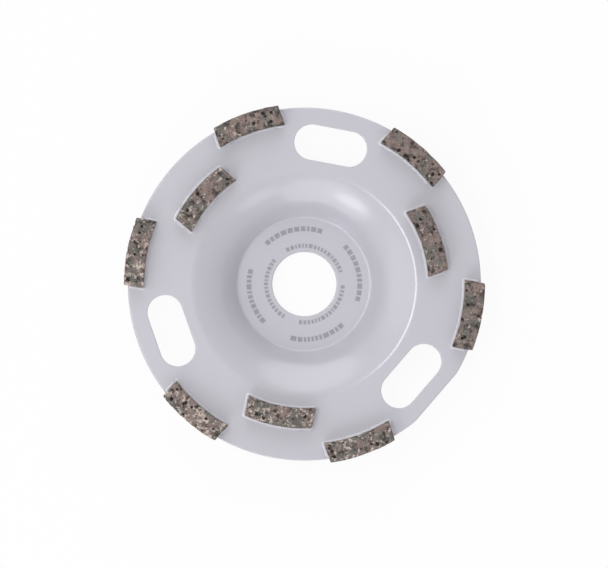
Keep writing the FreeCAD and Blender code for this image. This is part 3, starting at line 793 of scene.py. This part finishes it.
solderBead = {
    "under": 0.5 * mm,         # how far it reaches in under the segment's edge
    "outlineRounding": 0.5 * mm,
    "outlineSteps": 5,
    "filletSteps": 7,
    "step": 0.45 * mm,
    "waveSize": 2.5 * mm,
    "waveDepth": 0.1 * mm,
    "stillFoot": 0.05 * mm,    # what lies lower keeps its height
    "crease": radians(40),     # sharper bends than this aren't smoothed
    "rimEdge": 0.5 * mm,       # kept clear along the rim's edge
    "patternStep": 40 * mm,    # from one bead's stretch of the waves to the next one's
}


def beadTree(coat):
    sizes = {"Length": 0.0, "Thickness": 0.0, "Middle Radius": 0.0, "Turn": 0.0, "Reach": 0.0,
             "Foot Level": 0.0, "Seed": 1}
    tree, given, node = newTree("solderBead", sizes)
    outline = node("GeometryNodeCurvePrimitiveQuadrilateral", {}, {
        "Width": given["Length"], "Height": given["Thickness"]})
    rounded = node("GeometryNodeFilletCurve", {"mode": "POLY"}, {
        "Curve": outline, "Count": solderBead["outlineSteps"],
        "Radius": solderBead["outlineRounding"], "Limit Radius": True})
    stepped = node("GeometryNodeResampleCurve", {"mode": "LENGTH"}, {
        "Curve": rounded, "Length": solderBead["step"]})
    place = node("GeometryNodeInputPosition")
    bent = bendOntoRing(node, place, given["Middle Radius"], given["Turn"])

    # under a segment that stands over the rim's edge the bead stays on the rim
    radius = node("ShaderNodeVectorMath", {"operation": "LENGTH"}, {0: bent}).outputs["Value"]
    share = node("ShaderNodeMath", {"operation": "DIVIDE"}, {0: given["Reach"], 1: radius})
    kept = node("ShaderNodeMath", {"operation": "MINIMUM"}, {0: share, 1: 1.0})
    onRim = node("ShaderNodeVectorMath", {"operation": "SCALE"}, {0: bent, "Scale": kept})
    path = node("GeometryNodeSetPosition", {}, {"Geometry": stepped, "Position": onRim})
    section = node("GeometryNodeMeshToCurve", {}, {0: given["Geometry"]})
    swept = node("GeometryNodeCurveToMesh", {}, {"Curve": path, "Profile Curve": section})

    # the molten solder's uneven height
    seedShift = node("ShaderNodeMath", {"operation": "MULTIPLY"}, {
        0: given["Seed"], 1: solderBead["patternStep"]})
    shift = node("ShaderNodeCombineXYZ", {}, {2: seedShift})
    sample = node("ShaderNodeVectorMath", {"operation": "ADD"}, {0: place, 1: shift})
    waves = node("ShaderNodeTexNoise", {}, {
        "Vector": sample, "Scale": 1 / solderBead["waveSize"], "Detail": 1.0})
    height = node("ShaderNodeSeparateXYZ", {}, {0: place})
    sink = node("ShaderNodeMath", {"operation": "MULTIPLY"}, {
        0: waves.outputs["Fac"], 1: -solderBead["waveDepth"]})
    offFloor = node("ShaderNodeMath", {"operation": "GREATER_THAN"}, {
        0: height.outputs["Z"], 1: solderBead["stillFoot"]})
    down = node("ShaderNodeMath", {"operation": "MULTIPLY"}, {0: sink, 1: offFloor})
    downward = node("ShaderNodeCombineXYZ", {}, {2: down})
    uneven = node("GeometryNodeSetPosition", {}, {"Geometry": swept, "Offset": downward})
    lift = node("ShaderNodeCombineXYZ", {}, {2: given["Foot Level"]})
    lifted = node("GeometryNodeSetPosition", {}, {"Geometry": uneven, "Offset": lift})
    smooth = node("GeometryNodeSetShadeSmooth", {}, {"Geometry": lifted, "Shade Smooth": True})
    bend = node("GeometryNodeInputMeshEdgeAngle").outputs["Unsigned Angle"]
    corner = node("ShaderNodeMath", {"operation": "GREATER_THAN"}, {0: bend, 1: solderBead["crease"]})
    creased = node("GeometryNodeSetShadeSmooth", {"domain": "EDGE"}, {
        "Geometry": smooth, "Selection": corner, "Shade Smooth": False})
    finished = node("GeometryNodeSetMaterial", {}, {"Geometry": creased, "Material": coat})
    node("NodeGroupOutput", {}, {0: finished})
    return tree


def beadSection(spread, height):
    # hollow fillet between the rim and the segment's side, closed under the segment
    line = [(-solderBead["under"], 0)]
    for step in range(solderBead["filletSteps"] + 1):
        angle = pi / 2 * step / solderBead["filletSteps"]
        line.append((spread * (1 - sin(angle)), height * (1 - cos(angle))))
    line.append((-solderBead["under"], height))
    mesh = bpy.data.meshes.new("beadSection")
    points = [(across, -up, 0) for across, up in line]
    edges = [(i, (i + 1) % len(points)) for i in range(len(points))]
    mesh.from_pydata(points, edges, [])
    return mesh


def makeBeads(coat):
    tree = beadTree(coat)
    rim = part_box("cup_body")[1].y
    for ring, number, turn, seed in segmentPlaces():
        nodeName = f"{ring}_braze_{number}"
        length, innerRadius, outerRadius = measureBar(f"{ring}_segment_{number}", turn)
        spread = (measureBar(nodeName, turn)[0] - length) / 2
        low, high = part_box(nodeName)
        bead = growPiece(f"{ring}Solder{number}", tree, {
            "Length": length,
            "Thickness": outerRadius - innerRadius,
            "Middle Radius": (innerRadius + outerRadius) / 2,
            "Turn": turn,
            "Reach": rim - solderBead["rimEdge"] - spread,
            "Foot Level": low.z,
            "Seed": seed,
        }, beadSection(spread, high.z - low.z))
        turnFacesOutward(bead.data)
        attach(bead, "root")
        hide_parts(nodeName)
    print("solder ready")


# Print on the nut seat: plain bars of uneven length in even groups on two rings

hubPrint = {
    "ink": "#8d8c93",
    "thinInk": "#a3a2a9",
    "unevenSize": 0.8 * mm,
    "roughness": 0.55,
    "thickness": 0.02 * mm,
    "sunkShare": 0.25,     # of the thickness, into the paint
    "gap": 0.5 * mm,
    "shortestShare": 0.35,
    "mostBars": 40,        # more than a group has room for; those past its span are dropped
    "rows": [              # first and span are in degrees
        {"radius": 19.2 * mm, "height": 1.7 * mm, "longest": 2.1 * mm,
         "groups": 4, "first": 55, "span": 62},
        {"radius": 13.3 * mm, "height": 1.4 * mm, "longest": 1.4 * mm,
         "groups": 3, "first": 10, "span": 100},
    ],
}


def printTree(ink):
    sizes = {"Count": 1, "Radius": 0.0, "Height": 0.0, "Longest": 0.0, "Gap": 0.0, "Span": 0.0,
             "Turn": 0.0, "Level": 0.0, "Thickness": 0.0, "Seed": 1}
    tree, given, node = newTree("printedBars", sizes)
    shortest = node("ShaderNodeMath", {"operation": "MULTIPLY"}, {
        0: given["Longest"], 1: hubPrint["shortestShare"]})
    length = node("FunctionNodeRandomValue", {"data_type": "FLOAT"}, {
        2: shortest, 3: given["Longest"], "Seed": given["Seed"]}).outputs[1]
    pitch = node("ShaderNodeMath", {"operation": "ADD"}, {0: length, 1: given["Gap"]})
    travelled = node("GeometryNodeAccumulateField", {"data_type": "FLOAT", "domain": "POINT"}, {
        0: pitch})
    halfPitch = node("ShaderNodeMath", {"operation": "MULTIPLY"}, {0: pitch, 1: 0.5})
    middle = node("ShaderNodeMath", {"operation": "ADD"}, {
        0: travelled.outputs["Trailing"], 1: halfPitch})
    along = node("ShaderNodeMath", {"operation": "DIVIDE"}, {0: middle, 1: given["Radius"]})
    angle = node("ShaderNodeMath", {"operation": "SUBTRACT"}, {0: given["Turn"], 1: along})
    across = node("ShaderNodeCombineXYZ", {}, {0: given["Radius"], 2: given["Level"]})
    spot = node("ShaderNodeVectorRotate", {"rotation_type": "Z_AXIS"}, {
        "Vector": across, "Angle": angle})
    points = node("GeometryNodePoints", {}, {"Count": given["Count"]})
    inRow = node("GeometryNodeSetPosition", {}, {"Geometry": points, "Position": spot})
    pastSpan = node("ShaderNodeMath", {"operation": "GREATER_THAN"}, {0: along, 1: given["Span"]})
    kept = node("GeometryNodeDeleteGeometry", {"domain": "POINT"}, {
        "Geometry": inRow, "Selection": pastSpan})
    bar = node("GeometryNodeMeshCube", {}, {"Size": (1.0, 1.0, 1.0)})
    size = node("ShaderNodeCombineXYZ", {}, {0: given["Height"], 1: length, 2: given["Thickness"]})
    spin = node("ShaderNodeCombineXYZ", {}, {2: angle})
    bars = node("GeometryNodeInstanceOnPoints", {}, {
        "Points": kept, "Instance": bar.outputs["Mesh"], "Rotation": spin, "Scale": size})
    realBars = node("GeometryNodeRealizeInstances", {}, {0: bars})
    finished = node("GeometryNodeSetMaterial", {}, {"Geometry": realBars, "Material": ink})
    node("NodeGroupOutput", {}, {0: finished})
    return tree


def makePrint():
    # pad-printed grey ink: matt, and a little uneven where the pad lifted
    ink, coords, node = newMaterial("padPrintInk")
    uneven = node("ShaderNodeTexNoise", {}, {
        "Vector": coords, "Scale": 1 / hubPrint["unevenSize"], "Detail": 2.0})
    colour = node("ShaderNodeMix", {"data_type": "RGBA"}, {
        0: uneven.outputs["Fac"],
        6: linearColour(hubPrint["thinInk"]),
        7: linearColour(hubPrint["ink"])})
    shader = node("ShaderNodeBsdfPrincipled", {}, {
        "Base Color": colour, "Roughness": hubPrint["roughness"]})
    node("ShaderNodeOutputMaterial", {}, {"Surface": shader})

    tree = printTree(ink)
    middleShare = 0.5 - hubPrint["sunkShare"]
    level = mountNamed("nut_seat")["pos_m"][2] + hubPrint["thickness"] * middleShare
    for rowNumber, row in enumerate(hubPrint["rows"], start=1):
        for group in range(row["groups"]):
            bars = growPiece(f"printedRow{rowNumber}Group{group + 1}", tree, {
                "Count": hubPrint["mostBars"],
                "Radius": row["radius"],
                "Height": row["height"],
                "Longest": row["longest"],
                "Gap": hubPrint["gap"],
                "Span": radians(row["span"]),
                "Turn": radians(row["first"] + 360 * group / row["groups"]),
                "Level": level,
                "Thickness": hubPrint["thickness"],
                "Seed": 10 * rowNumber + group,
            }, bpy.data.meshes.new("bars"))
            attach(bars, "root")
    print("print ready")


makeCamera()
makeStudio()
coat = makePowderCoat("silverPowderCoat", powderCoat)
makeCup(coat)
# the solder's lighter coat is a painted highlight
makeBeads(makePowderCoat("paintedSolder", solderCoatPaintedLight))
makePrint()
makeSegments(makeSinteredMetal(), makeDiamondGrit())
